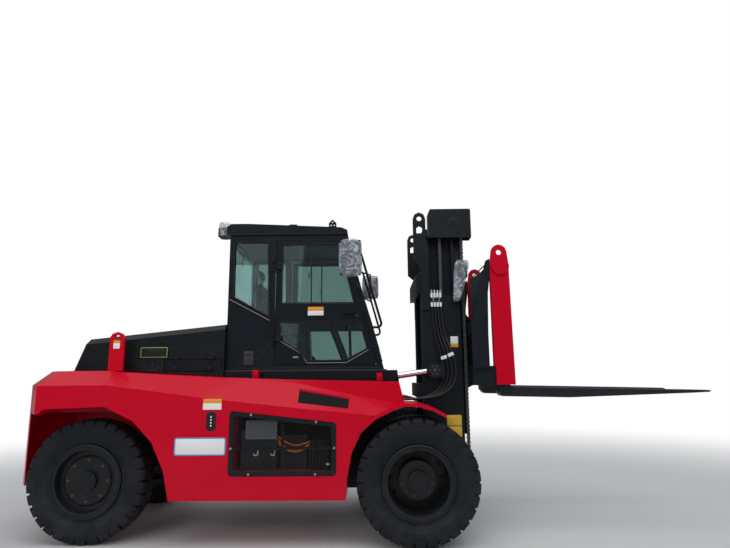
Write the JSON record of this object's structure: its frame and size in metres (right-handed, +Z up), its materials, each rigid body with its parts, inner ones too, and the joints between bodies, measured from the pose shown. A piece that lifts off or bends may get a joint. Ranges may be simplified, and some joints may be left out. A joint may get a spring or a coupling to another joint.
{
  "type": "electric forklift truck",
  "caption": "Heavy electric counterbalance forklift: two-stage mast that tilts and lifts, carriage with shaft-hung forks, glazed cab, twin front wheels and steered rear wheels.",
  "frame": {"origin": "on the ground under the middle of the whole length, on the centre plane", "axes": "+X forward to the fork tips, +Y to the left side, +Z up"},
  "size_m": [7.57, 2.5, 3.615],
  "materials": {
    "red_paint": "gloss red paint",
    "cab_paint": "satin black paint",
    "hood_paint": "satin black paint",
    "frame_paint": "black chassis paint",
    "mast_paint": "black mast paint",
    "fork_paint": "black forged forks",
    "lamp_lens": "red and amber lamp lenses",
    "zinc": "zinc plated pin",
    "chrome": "hard chrome rods",
    "chain": "oiled leaf chain",
    "tyre_rubber": "new rubber",
    "rim_paint": "black rims",
    "glass": "tinted safety glass",
    "grille": "black grille",
    "unit_metal": "cast and finned housings",
    "battery_case": "battery case",
    "seat_cloth": "black cloth and foam",
    "cab_plastic": "moulded black plastic",
    "trim_black": "black tube and lamp housings",
    "hose_rubber": "hydraulic hose"
  },
  "bodies": {
    "chassis": {"chassis_frame": "frame_paint", "drive_axle": "frame_paint", "steer_axle": "frame_paint", "battery_block": "battery_case", "counterweight": "red_paint", "side_bodies": "red_paint", "side_grilles": "grille", "side_vents": "grille", "power_units": "unit_metal", "lifting_plates": "red_paint", "tow_pin": "zinc", "tail_lamps": "lamp_lens", "battery_hood": "hood_paint", "cab_base": "hood_paint", "cab_mounts": "red_paint", "cab_shell": "cab_paint", "cab_roof": "cab_paint", "cab_glass": "glass", "seat": "seat_cloth", "steering_column": "cab_plastic", "cab_console": "cab_plastic", "grab_rails": "trim_black", "mirrors": "trim_black", "roof_lamps": "trim_black"},
    "hood_flap_right": {"hood_flap_right": "hood_paint"},
    "hood_flap_left": {"hood_flap_left": "hood_paint"},
    "cab_door_right": {"door_right": "cab_paint", "door_glass_right": "glass"},
    "cab_door_left": {"door_left": "cab_paint", "door_glass_left": "glass"},
    "front_wheel_right": {"front_rims_right": "rim_paint", "front_tyres_right": "tyre_rubber"},
    "front_wheel_left": {"front_rims_left": "rim_paint", "front_tyres_left": "tyre_rubber"},
    "steer_knuckle_right": {"knuckle_right": "frame_paint"},
    "steer_knuckle_left": {"knuckle_left": "frame_paint"},
    "rear_wheel_right": {"rear_rim_right": "rim_paint", "rear_tyre_right": "tyre_rubber"},
    "rear_wheel_left": {"rear_rim_left": "rim_paint", "rear_tyre_left": "tyre_rubber"},
    "mast_outer": {"outer_mast": "mast_paint", "tilt_clevises": "mast_paint", "lift_cylinders": "mast_paint", "mast_hoses": "hose_rubber", "hose_clamps": "hose_rubber", "mast_lamps": "trim_black"},
    "mast_inner": {"inner_mast": "mast_paint", "chain_sheaves": "mast_paint", "lift_chains": "chain", "lift_rods": "chrome"},
    "carriage": {"carriage_frame": "mast_paint", "carriage_plates": "red_paint", "fork_shaft": "mast_paint"},
    "fork_arm_right": {"fork_right": "fork_paint"},
    "fork_arm_left": {"fork_left": "fork_paint"},
    "tilt_cylinder_right": {"tilt_barrel_right": "mast_paint"},
    "tilt_cylinder_left": {"tilt_barrel_left": "mast_paint"},
    "tilt_piston_right": {"tilt_rod_right": "chrome"},
    "tilt_piston_left": {"tilt_rod_left": "chrome"}
  },
  "joints": [
    {"name": "front_wheel_right_spin", "type": "hinge", "parent": "chassis", "child": "front_wheel_right", "pos_m": [0.415, -0.9125, 0.615], "axis": [0, 1, 0], "continuous": true},
    {"name": "front_wheel_left_spin", "type": "hinge", "parent": "chassis", "child": "front_wheel_left", "pos_m": [0.415, 0.9125, 0.615], "axis": [0, 1, 0], "continuous": true},
    {"name": "steer_right", "type": "hinge", "parent": "chassis", "child": "steer_knuckle_right", "pos_m": [-2.976, -0.7, 0.615], "axis": [0, 0, 1], "range_deg": [-50, 50]},
    {"name": "rear_wheel_right_spin", "type": "hinge", "parent": "steer_knuckle_right", "child": "rear_wheel_right", "pos_m": [-2.976, -0.9245, 0.615], "axis": [0, 1, 0], "continuous": true},
    {"name": "steer_left", "type": "hinge", "parent": "chassis", "child": "steer_knuckle_left", "pos_m": [-2.976, 0.7, 0.615], "axis": [0, 0, 1], "range_deg": [-50, 50]},
    {"name": "rear_wheel_left_spin", "type": "hinge", "parent": "steer_knuckle_left", "child": "rear_wheel_left", "pos_m": [-2.976, 0.9245, 0.615], "axis": [0, 1, 0], "continuous": true},
    {"name": "mast_tilt", "type": "hinge", "parent": "chassis", "child": "mast_outer", "pos_m": [0.745, 0, 0.615], "axis": [0, 1, 0], "range_deg": [-12, 6]},
    {"name": "mast_lift", "type": "slide", "parent": "mast_outer", "child": "mast_inner", "axis": [0, 0, 1], "range_m": [-0.68, 0.8]},
    {"name": "carriage_lift", "type": "slide", "parent": "mast_inner", "child": "carriage", "axis": [0, 0, 1], "range_m": [-0.68, 0.8]},
    {"name": "tilt_cylinder_right_pivot", "type": "hinge", "parent": "chassis", "child": "tilt_cylinder_right", "pos_m": [-0.535, -0.6, 1.54], "axis": [0, 1, 0], "range_deg": [-1, 1]},
    {"name": "tilt_piston_right_slide", "type": "slide", "parent": "tilt_cylinder_right", "child": "tilt_piston_right", "axis": [0.99, 0, 0.1411], "range_m": [-0.24, 0.13]},
    {"name": "tilt_cylinder_left_pivot", "type": "hinge", "parent": "chassis", "child": "tilt_cylinder_left", "pos_m": [-0.535, 0.6, 1.54], "axis": [0, 1, 0], "range_deg": [-1, 1]},
    {"name": "tilt_piston_left_slide", "type": "slide", "parent": "tilt_cylinder_left", "child": "tilt_piston_left", "axis": [0.99, 0, 0.1411], "range_m": [-0.24, 0.13]},
    {"name": "fork_right_shift", "type": "slide", "parent": "carriage", "child": "fork_arm_right", "axis": [0, 1, 0], "range_m": [-0.12, 0.33]},
    {"name": "fork_left_shift", "type": "slide", "parent": "carriage", "child": "fork_arm_left", "axis": [0, 1, 0], "range_m": [-0.33, 0.12]},
    {"name": "cab_door_right_hinge", "type": "hinge", "parent": "chassis", "child": "cab_door_right", "pos_m": [-1.145, -0.689, 2.5], "axis": [0, 0, -1], "range_deg": [0, 95]},
    {"name": "cab_door_left_hinge", "type": "hinge", "parent": "chassis", "child": "cab_door_left", "pos_m": [-1.145, 0.689, 2.5], "axis": [0, 0, 1], "range_deg": [0, 95]},
    {"name": "hood_flap_right_hinge", "type": "hinge", "parent": "chassis", "child": "hood_flap_right", "pos_m": [-2.0325, -0.752, 1.864], "axis": [-1, 0, 0], "range_deg": [0, 85]},
    {"name": "hood_flap_left_hinge", "type": "hinge", "parent": "chassis", "child": "hood_flap_left", "pos_m": [-2.0325, 0.752, 1.864], "axis": [1, 0, 0], "range_deg": [0, 85]}
  ],
  "couplings": [
    {"joint": "steer_left", "follows": "steer_right", "ratio": 1},
    {"joint": "carriage_lift", "follows": "mast_lift", "ratio": 1},
    {"joint": "tilt_cylinder_right_pivot", "follows": "mast_tilt", "ratio": 0.016},
    {"joint": "tilt_piston_right_slide", "follows": "mast_tilt", "m_per_rad": 1.0966},
    {"joint": "tilt_cylinder_left_pivot", "follows": "mast_tilt", "ratio": 0.016},
    {"joint": "tilt_piston_left_slide", "follows": "mast_tilt", "m_per_rad": 1.0966}
  ]
}
